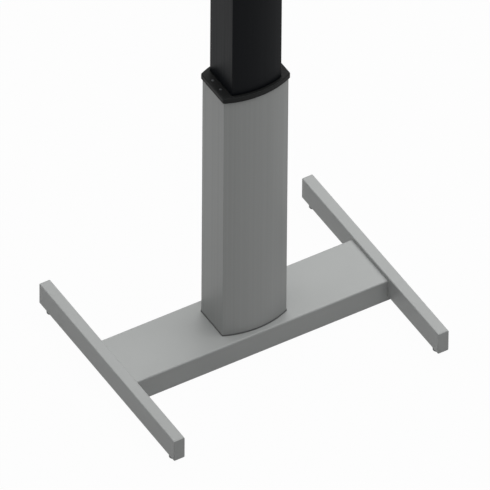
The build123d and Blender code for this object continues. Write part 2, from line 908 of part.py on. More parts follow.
def top_channel():
    """Tray folded up on all four sides, with a hole for the motor's lead and a slot for the others."""
    tray = block(tray_length, tray_depth, tray_height)
    tray = fillet(tray.edges().filter_by(Axis.X).group_by(Axis.Z)[0], tray_bend)
    inside = block(tray_length - 2 * tray_wall, tray_depth - 2 * tray_wall, tray_height)
    inside = fillet(inside.edges().filter_by(Axis.X).group_by(Axis.Z)[0], tray_bend - tray_wall)
    tray = Pos(0, 0, head_top) * (tray - Pos(0, 0, tray_wall) * inside)
    tray = drill(tray, frame_bolts(), m8 + hole_gap)
    for side in (-1, 1):
        for end in (-1, 1):
            hole = along_x(Pos(0, 0, -tray_wall) * rod(m6 + hole_gap, 2 * tray_wall))
            tray -= Pos(side * tray_length / 2, end * arm_bolt_spacing / 2, arm_bolt_height) * hole
    slot = extrude(SlotOverall(lead_slot_length, lead_slot_width), tray_wall)
    tray -= Pos(lead_slot_x, 0, head_top) * Rot(0, 0, 90) * slot
    return drill(tray, [Pos(0, lead_hole_y)], lead_hole_radius)


def top_frame_bolts():
    bolt = Rot(180, 0, 0) * hex_bolt(m8 - thread_gap, m8_flats, m8_head, tray_wall + head_thickness)
    return [place * Pos(0, 0, tray_floor) * bolt for place in frame_bolts()]


def top_arm():
    """Right arm, folded down on both sides, with flanges that taper towards its ends."""
    side_shape = Polygon(
        (-arm_length / 2, frame_top),
        (-arm_length / 2, frame_top - arm_tip_height),
        (-arm_full_length / 2, head_top),
        (arm_full_length / 2, head_top),
        (arm_length / 2, frame_top - arm_tip_height),
        (arm_length / 2, frame_top),
        align=None,
    )
    arm = Pos(arm_x - arm_width / 2, 0, 0) * extrude(Plane.YZ * side_shape, arm_width)
    arm = fillet(arm.edges().filter_by(Axis.Y).group_by(Axis.Z)[-1], arm_bend)
    inside_height = tray_height - arm_wall
    inside = block(arm_width - 2 * arm_wall, arm_length, inside_height)
    inside = fillet(inside.edges().filter_by(Axis.Y).group_by(Axis.Z)[-1], arm_bend - arm_wall)
    arm -= Pos(arm_x, 0, head_top) * inside
    for row in (-1, 0, 1):
        hole = rod(arm_hole_radius, arm_wall)
        arm -= Pos(arm_x, row * arm_hole_spacing, arm_underside) * hole
    for end in (-1, 1):
        hole = along_x(rod(m6 + hole_gap, arm_wall))
        arm -= Pos(tray_length / 2, end * arm_bolt_spacing / 2, arm_bolt_height) * hole
    return arm


def right_top_arm():
    """The right arm also has the two tapped holes for the hand control."""
    arm = top_arm()
    for place in hand_screw_places():
        arm -= place * Pos(0, 0, arm_underside) * rod(m4, arm_wall)
    return arm


def arm_bolts():
    length = tray_wall + arm_wall + m6_nut + bolt_past_nut
    bolt = along_x(hex_bolt(m6 - thread_gap, m6_flats, m6_head, length))
    x = tray_length / 2 - tray_wall
    on_the_right = [Pos(x, end * arm_bolt_spacing / 2, arm_bolt_height) * bolt for end in (-1, 1)]
    return [solid for bolt_right in on_the_right for solid in both_sides(bolt_right)]


def arm_nuts():
    nut = along_x(hex_nut(m6, m6_flats, m6_nut))
    x = tray_length / 2 + arm_wall
    on_the_right = [Pos(x, end * arm_bolt_spacing / 2, arm_bolt_height) * nut for end in (-1, 1)]
    return [solid for nut_right in on_the_right for solid in both_sides(nut_right)]


def board_posts():
    """Places of the posts that carry the circuit board."""
    x = box_length / 2 - box_wall - board_post_radius - board_post_gap
    y = box_depth / 2 - box_wall - board_post_radius - board_post_gap
    return [Pos(box_x + side * x, end * y) for side in (-1, 1) for end in (-1, 1)]


def control_box_case():
    """Lower shell of the control box, open above, with a cut-out for the inlet and two for plugs."""
    shell = rounded_block(box_length, box_depth, box_height - box_wall, box_corner)
    shell -= Pos(0, 0, box_wall) * rounded_block(
        box_length - 2 * box_wall, box_depth - 2 * box_wall, box_height, box_corner - box_wall
    )
    shell = Pos(box_x, 0, tray_floor) * shell
    post_height = box_wall + board_gap
    for place in board_posts():
        shell += place * Pos(0, 0, tray_floor) * rod(board_post_radius, post_height)
    inlet = Pos(box_left, inlet_y(), tray_floor + box_wall)
    shell -= inlet * block(3 * box_wall, inlet_depth, inlet_height)
    for place in plug_places():
        shell -= Pos(box_left, 0, 0) * place * block(3 * box_wall, plug_width, plug_height)
    return shell


def inlet_y():
    """The inlet lies beside the board's plug openings."""
    return box_depth / 2 - box_wall - board_post_radius * 2 - inlet_depth / 2 - plug_gap


def plug_places():
    height = tray_floor + box_wall + board_gap + board_thickness
    first = -(box_depth / 2 - box_wall - plug_width - plug_gap)
    return [Pos(0, first + plug_spacing * plug, height) for plug in range(2)]


def control_box_cover():
    """Lid of the control box with a row of cooling slots."""
    height = tray_floor + box_height - box_wall
    lid = Pos(box_x, 0, height) * rounded_block(box_length, box_depth, box_wall, box_corner)
    slot = Rot(0, 0, 90) * extrude(SlotOverall(cooling_slot_length, cooling_slot_width), box_wall)
    for row in range(cooling_slots):
        x = box_x + cooling_slot_pitch * (row - (cooling_slots - 1) / 2)
        lid -= Pos(x, 0, height) * slot
    return lid


def control_board():
    """Circuit board with its two plug headers, cut away for the mains inlet."""
    length = box_length - 2 * box_wall - 2 * board_fit
    depth = box_depth - 2 * box_wall - 2 * board_fit
    board = Pos(box_x, 0) * rounded_block(length, depth, board_thickness, box_corner - box_wall)
    edge = box_left + box_wall
    board -= Pos(edge + inlet_length / 2, inlet_y()) * block(
        inlet_length + 2 * inlet_gap, inlet_depth + 2 * inlet_gap, board_thickness
    )
    level = tray_floor + box_wall + board_gap
    board = Pos(0, 0, level) * board
    for place in plug_places():
        header = block(header_length, plug_width - 2 * plug_clearance, plug_height - 2 * plug_clearance)
        board += Pos(edge + header_length / 2 + header_gap, 0, 0) * place * header
    return board


def mains_inlet():
    """Moulded appliance inlet with a rounded recess for the plug and two pins."""
    height = inlet_height - 2 * inlet_fit
    body = Pos(inlet_length / 2, 0, 0) * block(inlet_length, inlet_depth - 2 * inlet_fit, height)
    mouth = Rot(0, 0, 90) * SlotOverall(inlet_recess_depth, inlet_recess_height)
    body -= Pos(0, 0, height / 2) * along_x(extrude(mouth, inlet_length - inlet_back))
    pin = along_x(rod(inlet_pin_radius, inlet_length - inlet_back - inlet_pin_inset))
    for end in (-1, 1):
        body += Pos(inlet_pin_inset, end * inlet_pin_spacing / 2, height / 2) * pin
    return Pos(box_left, inlet_y(), tray_floor + box_wall) * body


def hand_screw_places():
    """Two screws that hold the tongue of the hand control under the arm."""
    y = -arm_length / 2 + tongue_depth - hand_screw_inset
    return [Pos(arm_x + side * tongue_width / 4, y) for side in (-1, 1)]


def button_places():
    return [arm_x + side * button_spacing / 2 for side in (-1, 1)]


def handset_case():
    """Lower shell of the hand control, with two button windows and a tongue that enters the arm."""
    height = hand_height - hand_wall
    shell = rounded_block(hand_width, hand_depth, height, hand_corner)
    shell = fillet(shell.edges().group_by(Axis.Z)[0], hand_bottom_edge)
    shell -= Pos(0, 0, hand_wall) * rounded_block(
        hand_width - 2 * hand_wall, hand_depth - 2 * hand_wall, height, hand_corner - hand_wall
    )
    shell = Pos(arm_x, hand_y, hand_bottom) * shell
    for x in button_places():
        window = block(button_width, 4 * hand_wall, button_height)
        shell -= Pos(x, button_face, button_z - button_height / 2) * window
    tongue_front = hand_y + hand_depth / 2 - hand_wall / 2
    tongue_back = -arm_length / 2 + tongue_depth
    tongue_bottom = arm_underside - tongue_height
    tongue = block(tongue_width, tongue_back - tongue_front, tongue_height)
    shell += Pos(arm_x, (tongue_front + tongue_back) / 2, tongue_bottom) * tongue
    for place in hand_screw_places():
        shell -= place * Pos(0, 0, tongue_bottom) * rod(m4 + hole_gap / 2, tongue_height)
    return shell


def handset_cover():
    """Flat lid of the hand control."""
    lid = rounded_block(hand_width, hand_depth, hand_wall, hand_corner)
    return Pos(arm_x, hand_y, hand_top - hand_wall) * lid


def hand_button(x):
    """Push button with a flange behind the wall and a stem towards its switch."""
    cap_length = hand_wall + button_out
    cap = rounded_block(
        button_width - 2 * button_fit, button_height - 2 * button_fit, cap_length, button_corner
    )
    cap = fillet(cap.edges().group_by(Axis.Z)[0], button_edge)
    flange = Pos(0, 0, cap_length + button_fit) * block(
        button_width + 2 * button_flange_margin,
        button_height + 2 * button_flange_margin,
        button_flange,
    )
    neck = Pos(0, 0, cap_length) * block(button_width / 2, button_height / 2, button_fit)
    stem = rod(button_stem_radius, button_stem)
    stem = Pos(0, 0, cap_length + button_fit + button_flange) * stem
    return Pos(x, button_face - button_out, button_z) * along_y(cap + neck + flange + stem)


def handset_screws():
    seat = arm_underside - tongue_height
    screw = Rot(180, 0, 0) * round_screw(
        m4 - thread_gap, m4_head, m4_head_height, tongue_height + arm_wall - hand_screw_spare
    )
    return [place * Pos(0, 0, seat) * screw for place in hand_screw_places()]


def write(name, shape):
    """Write one sub-part, or a group of like solids, to a file with its name."""
    solids = shape if isinstance(shape, list) else [shape]
    group = Compound(children=[solid for item in solids for solid in item.solids()])
    export_step(group, os.path.join("parts", name + ".step"))


os.makedirs("parts", exist_ok=True)

for side_name, tube in zip(("right", "left"), both_sides(foot_tube())):
    write("foot_tube_" + side_name, tube)
for side_name, bracket in zip(("right", "left"), both_sides(beam_end_bracket())):
    write("beam_end_bracket_" + side_name, bracket)
for side_name, side_sign in (("right", 1), ("left", -1)):
    for end_name, end_sign in (("front", 1), ("back", -1)):
        corner_name = end_name + "_" + side_name
        cap = foot_end_cap()
        cap = cap if end_sign > 0 else mirror(cap, about=Plane.XZ)
        cap = cap if side_sign > 0 else mirror(cap, about=Plane.YZ)
        write("foot_end_cap_" + corner_name, cap)
        foot_place = Pos(side_sign * foot_x, -end_sign * glide_y(), 0)
        write("glide_pad_" + corner_name, foot_place * glide_pad())
        write("glide_stud_" + corner_name, foot_place * glide_stud())
write("foot_weld_nuts", foot_weld_nuts())
write("cross_beam", cross_beam())
write("beam_bolts", beam_bolts())
write("column_stiffener_plate", column_stiffener_plate())
write("column_base_plate", column_base_plate())
write("column_base_screws", column_base_screws())
write("outer_column", outer_column())
write("collar", collar())
write("collar_screws", collar_screws())
write("upper_guide_bush", upper_guide_bush())
write("nut_tube", nut_tube())
write("nut_tube_screws", nut_tube_screws())
write("spindle_nut", spindle_nut())
write("inner_column", inner_column())
write("lower_guide_bush", lower_guide_bush())
write("head_plate", head_plate())
write("head_plate_screws", head_plate_screws())
write("gear_case", gear_case())
write("gearbox", gearbox())
write("drive_motor", drive_motor())
write("motor_screws", motor_screw_set())
write("gearbox_output_shaft", gearbox_output_shaft())
write("drive_pinion", drive_pinion())
write("spindle_gear", spindle_gear())
write("spindle", spindle())
write("bearing_outer_ring", bearing_outer_ring())
write("bearing_inner_ring", bearing_inner_ring())
write("bearing_balls", bearing_balls())
write("top_channel", top_channel())
write("top_frame_bolts", top_frame_bolts())
write("top_arm_right", right_top_arm())
write("top_arm_left", mirror(top_arm(), about=Plane.YZ))
write("arm_bolts", arm_bolts())
write("arm_nuts", arm_nuts())
write("control_box_case", control_box_case())
write("control_box_cover", control_box_cover())
write("control_board", control_board())
write("mains_inlet", mains_inlet())
write("handset_case", handset_case())
write("handset_cover", handset_cover())
write("handset_screws", handset_screws())
for button_name, button_x in zip(("up_button", "down_button"), button_places()):
    write(button_name, hand_button(button_x))
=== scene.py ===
import json
from math import cos, floor, pi, radians, sin, tan

import bmesh
import bpy
from mathutils import Matrix, Quaternion, Vector

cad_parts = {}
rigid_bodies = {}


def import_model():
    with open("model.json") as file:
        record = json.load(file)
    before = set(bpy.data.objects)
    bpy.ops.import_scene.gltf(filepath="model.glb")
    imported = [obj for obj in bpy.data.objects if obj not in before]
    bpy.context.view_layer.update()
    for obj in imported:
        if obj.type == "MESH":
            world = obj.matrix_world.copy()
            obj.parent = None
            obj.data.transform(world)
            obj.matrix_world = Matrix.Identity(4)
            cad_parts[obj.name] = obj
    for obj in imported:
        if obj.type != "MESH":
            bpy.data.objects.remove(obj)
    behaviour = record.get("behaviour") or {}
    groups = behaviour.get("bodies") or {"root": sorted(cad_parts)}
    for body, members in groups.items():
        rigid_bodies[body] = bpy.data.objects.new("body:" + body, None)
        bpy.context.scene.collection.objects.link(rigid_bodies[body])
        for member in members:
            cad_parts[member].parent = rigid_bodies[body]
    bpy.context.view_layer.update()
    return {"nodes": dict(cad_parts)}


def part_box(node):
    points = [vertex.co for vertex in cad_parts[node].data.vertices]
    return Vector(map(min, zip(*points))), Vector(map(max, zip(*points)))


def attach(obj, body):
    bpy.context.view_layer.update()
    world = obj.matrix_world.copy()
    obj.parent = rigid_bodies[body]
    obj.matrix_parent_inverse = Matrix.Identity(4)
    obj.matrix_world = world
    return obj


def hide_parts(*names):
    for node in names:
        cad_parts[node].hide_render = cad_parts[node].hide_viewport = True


# The scene starts empty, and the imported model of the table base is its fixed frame:
# metres, +Z up, the cross beam along X, the front towards -Y.
for leftover in list(bpy.data.objects):
    bpy.data.objects.remove(leftover)
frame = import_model()
mm = 0.001


# Foot tubes
# Welded steel tube of 53 x 25 mm, one at each end of the beam, sawn square and deburred.
# The tubes are powder coated in one batch with the beam.
def linear(hex_colour):
    """Turns an sRGB colour such as "#A2A4A3" to the linear colour that a shader takes."""
    channels = [int(hex_colour[start : start + 2], 16) / 255 for start in (1, 3, 5)]
    return [c / 12.92 if c <= 0.04045 else ((c + 0.055) / 1.055) ** 2.4 for c in channels] + [1]


def first_output(node):
    """The first output in use, since some nodes have one for each type of value."""
    return next(found for found in node.outputs if found.enabled)


def socket(sockets, key):
    """A socket by its place in the row, or the first one in use that has the name."""
    if isinstance(key, int):
        return sockets[key]
    return next(found for found in sockets if found.enabled and found.name == key)


def add_node(owner, kind, inputs, feeds=None, **settings):
    """Adds a node. Inputs take values, nodes or sockets, and feeds is a socket that it drives."""
    tree = owner.node_tree
    node = tree.nodes.new(kind)
    for name, value in settings.items():
        setattr(node, name, value)
    for key, value in inputs.items():
        if isinstance(value, bpy.types.Node):
            value = first_output(value)
        if isinstance(value, bpy.types.NodeSocket):
            tree.links.new(value, socket(node.inputs, key))
        else:
            socket(node.inputs, key).default_value = value
    if feeds:
        tree.links.new(first_output(node), feeds)
    return node


def shader_input(material, name):
    """An input of the material's main shader."""
    return material.node_tree.nodes["Principled BSDF"].inputs[name]


def new_material(name, colour, roughness, metallic=0.0, specular=0.5):
    """Plain material. Its colour and roughness are the middle of what the patterns below give."""
    material = bpy.data.materials.new(name)
    material.use_nodes = True
    shader_input(material, "Base Color").default_value = linear(colour)
    shader_input(material, "Roughness").default_value = roughness
    shader_input(material, "Metallic").default_value = metallic
    shader_input(material, "Specular IOR Level").default_value = specular
    return material


def add_pattern(material, size, detail, stretch):
    """Cloudy pattern with spots of one size, which lies on the piece and moves with its body."""
    place = add_node(material, "ShaderNodeTexCoord", {}).outputs["Object"]
    scaled = add_node(material, "ShaderNodeMapping", {"Vector": place, "Scale": stretch})
    settings = {"Vector": scaled, "Scale": 1 / size, "Detail": detail}
    return add_node(material, "ShaderNodeTexNoise", settings)


def add_relief(material, size, depth, edge=0.4 * mm, stretch=(1, 1, 1), gloss=None):
    """Fine bumps, and edges that catch the light as if slightly rounded.

    Gloss gives the roughness at the lowest and at the highest bumps.
    """
    grain = add_pattern(material, size, 2.0, stretch)
    rounded = add_node(material, "ShaderNodeBevel", {"Radius": edge}, samples=4)
    add_node(
        material,
        "ShaderNodeBump",
        {"Height": grain, "Distance": depth, "Strength": 0.6, "Normal": rounded},
        feeds=shader_input(material, "Normal"),
    )
    if gloss:
        low, high = gloss
        add_node(
            material,
            "ShaderNodeMapRange",
            {"Value": grain, "From Min": 0.3, "From Max": 0.7, "To Min": low, "To Max": high},
            feeds=shader_input(material, "Roughness"),
        )


def add_drift(material, size, colours, stretch=(1, 1, 1)):
    """Colour that drifts between two near shades over patches of one size."""
    patches = add_pattern(material, size, 3.0, stretch)
    shades = {"Factor": patches, "A": linear(colours[0]), "B": linear(colours[1])}
    base = shader_input(material, "Base Color")
    add_node(material, "ShaderNodeMix", shades, feeds=base, data_type="RGBA")


def dress(material, *nodes):
    """Gives CAD nodes their finish."""
    for node in nodes:
        slots = frame["nodes"][node].data.materials
        slots.clear()
        slots.append(material)


# Grey polyester powder coat: its fine orange peel scatters the light, so that faces look matt
# and even.
grey_coat = new_material("grey_powder_coated_steel", "#A2A4A3", roughness=0.5)
add_relief(grey_coat, size=0.5 * mm, depth=0.03 * mm, edge=1 * mm, gloss=(0.44, 0.56))
add_drift(grey_coat, size=90 * mm, colours=("#9FA1A0", "#A5A7A6"))
dress(grey_coat, "foot_tube_left", "foot_tube_right")


# End caps
# Polyethylene caps with a rounded head, moulded in the colour of the coat and pressed into the
# ends of the foot tubes.

# Polyethylene with an eroded grain: a touch duller than the coat, with soft waxy edges.
# The grain is drawn about twice as coarse as a real one, so that it shows.
cap_plastic = new_material("grey_moulded_polyethylene", "#A6A8A7", roughness=0.55)
add_relief(cap_plastic, size=0.3 * mm, depth=0.02 * mm, edge=1.5 * mm)
add_drift(cap_plastic, size=12 * mm, colours=("#A4A6A5", "#A9ABAA"))
corners = ("front_left", "front_right", "back_left", "back_right")
dress(cap_plastic, *("foot_end_cap_" + corner for corner in corners))


# Glides
# Round polyamide pads under the feet, each snapped onto the ball of a threaded stud. The stud is
# M8 zinc-plated steel with a hexagon to turn it, and levels the base.

# Grey polyamide: dull and plain, so a pad shows as a small darker bump under its foot. The
# grain is drawn about twice as coarse as a real one.
pad_plastic = new_material("grey_moulded_polyamide", "#8A8C8C", roughness=0.6)
add_relief(pad_plastic, size=0.3 * mm, depth=0.03 * mm)
add_drift(pad_plastic, size=8 * mm, colours=("#868888", "#8E9090"))
dress(pad_plastic, *("glide_pad_" + corner for corner in corners))

# Bright zinc plating: silvery with a faint blue, evenly dulled by its crystals, which are drawn
# far coarser than real ones to show at all.
zinc = new_material("zinc_plated_steel", "#A7AAAD", roughness=0.35, metallic=1.0)
add_relief(zinc, size=0.2 * mm, depth=0.004 * mm, edge=0.2 * mm, gloss=(0.28, 0.42))
add_drift(zinc, size=5 * mm, colours=("#9FA3A7", "#B0B3B5"))


def ring(radius, height, steps=32, turn=0.0):
    """Points of one turn at a height. The radius may be a function of the angle."""
    angles = [turn + 2 * pi * step / steps for step in range(steps)]
    reach = radius if callable(radius) else lambda angle: radius
    return [Vector((reach(a) * cos(a), reach(a) * sin(a), height)) for a in angles]


def skin(shape, rings):
    """Joins rings of points, lowest first, to a closed body with flat ends."""
    rows = [[shape.verts.new(point) for point in points] for points in rings]
    count = len(rows[0])
    for lower, upper in zip(rows, rows[1:]):
        for here in range(count):
            there = (here + 1) % count
            shape.faces.new((lower[here], lower[there], upper[there], upper[here]))
    shape.faces.new(reversed(rows[0]))
    shape.faces.new(rows[-1])


def add_thread(shape, radius, pitch, bottom, top, depth, crest=0.0, starts=1, tip_up=False):
    """Threaded bar between two heights, with one tapered tip. A crest of 0 gives sharp V ridges."""
    rows_in_pitch = 8
    rise = pitch / rows_in_pitch
    count = int((top - bottom) / rise)
    flank = (1 - crest) / 2

    def reach(height):
        tip = radius - depth + (top - height if tip_up else height - bottom)

        def at(angle):
            phase = height / pitch - starts * angle / (2 * pi)
            slope = abs(2 * (phase - floor(phase)) - 1)
            ridge = min(1, max(0, (slope - 0.5 + flank) / (2 * flank)))
            return min(radius - depth + depth * ridge, tip)

        return at

    heights = [bottom + rise * row for row in range(count)] + [top]
    skin(shape, [ring(reach(height), height, steps=20) for height in heights])


def add_hexagon(shape, flats, bottom, top, chamfer_above=True, chamfer_below=False):
    """Hexagon whose corners are turned off at 30 degrees, as on a real bolt head or nut."""
    steps = 48
    half_step = pi / steps
    corner_slope = tan(radians(30))
    turned = 0.96 * flats / 2

    def side(angle):
        within = angle % (pi / 3) - pi / 6
        return flats / 2 / cos(within)

    def face(height):
        return ring(turned, height, steps, half_step)

    def edge(height, sign):
        points = ring(side, height, steps, half_step)
        for step, point in enumerate(points):
            reach = side(half_step + 2 * pi * step / steps)
            point.z += sign * (reach - turned) * corner_slope
        return points

    rings = [face(bottom), edge(bottom, 1)] if chamfer_below else [edge(bottom, 0)]
    rings += [edge(top, -1), face(top)] if chamfer_above else [edge(top, 0)]
    skin(shape, rings)


def add_piece(name, shape, material, body, replaces=()):
    """Makes a piece of the object that rides on a body. Faces that meet gently look round."""
    mesh = bpy.data.meshes.new(name)
    bmesh.ops.recalc_face_normals(shape, faces=shape.faces)
    shape.to_mesh(mesh)
    shape.free()
    mesh.shade_smooth()
    mesh.set_sharp_from_angle(angle=radians(35))
    mesh.materials.append(material)
    piece = bpy.data.objects.new(name, mesh)
    bpy.context.scene.collection.objects.link(piece)
    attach(piece, body)
    if replaces:
        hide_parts(*replaces)


m8_flats = 13 * mm
m8_radius = 3.95 * mm
m8_pitch = 1.25 * mm
m8_depth = 0.68 * mm
ball = 4.5 * mm
overlap = 0.3 * mm
for corner in corners:
    low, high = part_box("glide_stud_" + corner)
    pad_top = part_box("glide_pad_" + corner)[1].z
    foot_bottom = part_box("foot_tube_" + corner.split("_")[1])[0].z
    stud = bmesh.new()
    tilts = [radians(degrees) for degrees in range(-75, 1, 15)]
    rounds = [ring(ball * cos(tilt), low.z + ball * (1 + sin(tilt))) for tilt in tilts]
    skin(stud, rounds + [ring(ball, pad_top)])
    add_hexagon(stud, m8_flats, pad_top, foot_bottom, chamfer_below=True)
    add_thread(
        stud, m8_radius, m8_pitch, foot_bottom - overlap, high.z, depth=m8_depth, tip_up=True
    )
    middle = (low + high) / 2
    bmesh.ops.translate(stud, vec=(middle.x, middle.y, 0), verts=stud.verts)
    node = "glide_stud_" + corner
    add_piece("glide_thread_" + corner, stud, zinc, "glide_" + corner, replaces=[node])


# Cross beam and its brackets
# Steel sheet of 3 mm folded to a channel that is open below, with an angle bracket welded into
# each end. It is coated with the feet, so it has the same grey.
dress(grey_coat, "cross_beam", "beam_end_bracket_left", "beam_end_bracket_right")

# Weld metal under the same coat: short beads from front to back, with ripples where the torch
# paused.
sheet = 3 * mm
bead = 2.2 * mm
ripple = 1.8 * mm
ripple_share = 0.16
rings_in_ripple = 6
weld_length = 28 * mm
weld_starts = (-50 * mm, 22 * mm)
front_to_back = Matrix.Rotation(radians(-90), 3, "X")
sheet_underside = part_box("cross_beam")[1].z - sheet
for side in ("left", "right"):
    low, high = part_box("beam_end_bracket_" + side)
    inner_face = low.x if side == "right" else high.x
    welds = bmesh.new()
    for start in weld_starts:
        first = Vector((inner_face, start, sheet_underside))
        rings = []
        for step in range(int(weld_length / ripple * rings_in_ripple)):
            along = step * ripple / rings_in_ripple
            radius = bead * (1 - ripple_share * abs(sin(pi * along / ripple)))
            points = ring(radius, along, steps=12)
            rings.append([first + front_to_back @ point for point in points])
        skin(welds, rings)
    add_piece("bracket_welds_" + side, welds, grey_coat, "base")


# Fasteners
# Bolts, nuts and screws are cold-headed steel with rolled threads, zinc plated. Each group is set
# where its CAD solids are, one screw for each solid.
def solids(node):
    """Lowest and highest corner of each separate solid of a CAD node, in a fixed order."""
    decimals = 5
    shape = bmesh.new()
    shape.from_mesh(frame["nodes"][node].data)
    bmesh.ops.remove_doubles(shape, verts=shape.verts, dist=0.001 * mm)
    unseen = set(shape.verts)
    boxes = []
    while unseen:
        reached = [unseen.pop()]
        for vertex in reached:
            for edge in vertex.link_edges:
                other = edge.other_vert(vertex)
                if other in unseen:
                    unseen.remove(other)
                    reached.append(other)
        points = [vertex.co for vertex in reached]
        low = Vector(min(point[axis] for point in points) for axis in range(3))
        high = Vector(max(point[axis] for point in points) for axis in range(3))
        boxes.append((low, high))
    shape.free()
    return sorted(boxes, key=lambda box: tuple(round(value, decimals) for value in box[0]))


def cut(shape, tool):
    """Takes the tool's volume out of the shape."""
    blanks = []
    for body in (shape, tool):
        bmesh.ops.recalc_face_normals(body, faces=body.faces)
        mesh = bpy.data.meshes.new("blank")
        body.to_mesh(mesh)
        body.free()
        blanks.append(bpy.data.objects.new("blank", mesh))
        bpy.context.scene.collection.objects.link(blanks[-1])
    cutting = blanks[0].modifiers.new("cut", "BOOLEAN")
    cutting.operation = "DIFFERENCE"
    cutting.object = blanks[1]
    result = bmesh.new()
    result.from_object(blanks[0], bpy.context.evaluated_depsgraph_get())
    for blank in blanks:
        bpy.data.meshes.remove(blank.data)
    return result


overcut = 0.1 * mm


def cross_recess(size, depth):
    """Tapered cross for a screwdriver, sunk from z = 0."""
    tip_share = 0.55
    arm_share = 0.28

    def outline(reach, height):
        arm = reach * arm_share
        quarter = [(reach, -arm), (reach, arm), (arm, arm)]
        turns = [Matrix.Rotation(radians(angle), 3, "Z") for angle in (0, 90, 180, 270)]
        return [turn @ Vector((x, y, height)) for turn in turns for x, y in quarter]

    tool = bmesh.new()
    skin(tool, [outline(size * tip_share, -depth), outline(size, overcut)])
    return tool


def hexagon_recess(flats, depth):
    """Socket for a hexagon key, sunk from z = 0."""
    tool = bmesh.new()
    corner = flats / 2 / cos(pi / 6)
    skin(tool, [ring(corner, height, steps=6) for height in (-depth, overcut)])
    return tool


def round_head(radius, height, edge, recess):
    """Round screw head with its top on z = 0 and a slightly domed face."""
    underside = 0.97 * radius
    side_foot = 0.85 * height
    shape = bmesh.new()
    profile = [(underside, -height), (radius, -side_foot), (radius, -edge)]
    for tilt in (radians(30), radians(60), radians(90)):
        profile.append((radius - edge * (1 - cos(tilt)), -edge * (1 - sin(tilt))))
    skin(shape, [ring(reach, level) for reach, level in profile])
    return cut(shape, recess)


def sunk_head(radius, shank, recess):
    """Countersunk screw head with its top on z = 0."""
    rim = 0.2 * mm
    bevel = 0.1 * mm
    bevel_height = 0.05 * mm
    shape = bmesh.new()
    profile = [
        (shank, shank - radius - rim),
        (radius - rim, -2 * rim),
        (radius, -rim),
        (radius, -bevel_height),
        (radius - bevel, 0),
    ]
    skin(shape, [ring(reach, level) for reach, level in profile])
    return cut(shape, recess)


def hexagon_head(flats, height):
    """Hexagon head with its top on z = 0 and a washer face below."""
    washer_face = 0.93 * flats / 2
    washer_step = 0.01 * mm
    washer_top = 0.9 * height
    shape = bmesh.new()
    add_hexagon(shape, flats, -height, 0)
    levels = (-height - washer_step, -washer_top)
    skin(shape, [ring(washer_face, level, steps=48) for level in levels])
    return shape


def add_group(name, unit, places, material, body, node):
    """Replaces a CAD node by copies of one shape, a copy for each place."""
    mesh = bpy.data.meshes.new("unit")
    unit.to_mesh(mesh)
    unit.free()
    group = bmesh.new()
    for place in places:
        start = len(group.verts)
        group.from_mesh(mesh)
        group.verts.ensure_lookup_table()
        bmesh.ops.transform(group, matrix=place, verts=group.verts[start:])
    bpy.data.meshes.remove(mesh)
    add_piece(name, group, material, body, replaces=[node])


def add_screws(name, node, body, head, head_height, radius, pitch, along=None, finish=zinc):
    """Replaces a group by detailed screws, which point outward along the beam by default."""
    axis = 2 if along else 0
    low, high = solids(node)[0]
    length = high[axis] - low[axis]
    add_thread(head, radius, pitch, -length, overlap - head_height, depth=0.55 * pitch)
    places = []
    for low, high in solids(node):
        centre = (low + high) / 2
        way = Vector(along) if along else Vector((1 if centre.x > 0 else -1, 0, 0))
        turn = Vector((0, 0, -1)).rotation_difference(way).to_matrix().to_4x4()
        places.append(Matrix.Translation(centre - way * length / 2) @ turn)
    add_group(name, head, places, finish, body, node)


down = (0, 0, -1)
up = (0, 0, 1)
m8_head = 5.3 * mm
m6_flats = 10 * mm
m6_head = 4 * mm
m6_radius = 2.95 * mm
m6_pitch = 1 * mm
m5_head = 3.5 * mm
add_screws(
    "beam_hex_bolts", "beam_bolts", "base", hexagon_head(m8_flats, m8_head),
    head_height=m8_head, radius=m8_radius, pitch=m8_pitch,
)
add_screws(
    "column_hex_screws", "column_base_screws", "base", hexagon_head(m6_flats, m6_head),
    head_height=m6_head, radius=m6_radius, pitch=m6_pitch, along=up,
)
m5_socket = hexagon_recess(flats=4 * mm, depth=2 * mm)
add_screws(
    "nut_tube_socket_screws", "nut_tube_screws", "base",
    round_head(radius=4.5 * mm, height=m5_head, edge=0.5 * mm, recess=m5_socket),
    head_height=m5_head, radius=2.45 * mm, pitch=0.8 * mm, along=up,
)
dress(zinc, "foot_weld_nuts", "column_stiffener_plate")


# Base plate
# Thin moulded polypropylene plate, clamped between the beam and the column. It keeps them from
# scratching each other's coat.

# Dark polypropylene, plain and dull. Its dark grey is partly painted shade: it stands in for the
# shadow in the gap round the column's foot and draws it as a thin dark line. The grain is drawn
# about twice as coarse as a real one.
plate_plastic_with_painted_shade = new_material("dark_polypropylene_with_painted_shade", "#5A5B5B", roughness=0.6)
add_relief(plate_plastic_with_painted_shade, size=0.3 * mm, depth=0.02 * mm)
add_drift(plate_plastic_with_painted_shade, size=10 * mm, colours=("#565757", "#5E5F5F"))
dress(plate_plastic_with_painted_shade, "column_base_plate")


# Outer column
# Extruded aluminium with bowed front and back, sawn to length and powder coated grey. Screws
# from below hold it by the ports in its flat sides.

# A coat thinner than on the steel: satin, with the die's upright lines showing faintly through.
# They are drawn coarser than real die lines, so that they show.
column_coat = new_material("grey_coated_extruded_aluminium", "#A0A2A1", roughness=0.46)
die_lines = (1, 1, 0.004)
add_relief(column_coat, size=1.4 * mm, depth=0.03 * mm, stretch=die_lines, gloss=(0.42, 0.5))
add_drift(column_coat, size=6 * mm, colours=("#989A99", "#A8AAA9"), stretch=die_lines)
dress(column_coat, "outer_column")


# Collar
# Glass-filled polyamide, injection moulded and pressed over the column's top. Four
# cross-recess screws hold it to the column's screw ports.

# Black polyamide with an eroded grain: it swallows highlights and looks almost velvety.
# The grain is drawn about twice as coarse as a real one, so that it shows.
collar_plastic = new_material("black_moulded_polyamide", "#151616", roughness=0.55, specular=0.12)
add_relief(collar_plastic, size=0.4 * mm, depth=0.05 * mm)
add_drift(collar_plastic, size=8 * mm, colours=("#121313", "#181919"))
dress(collar_plastic, "collar")

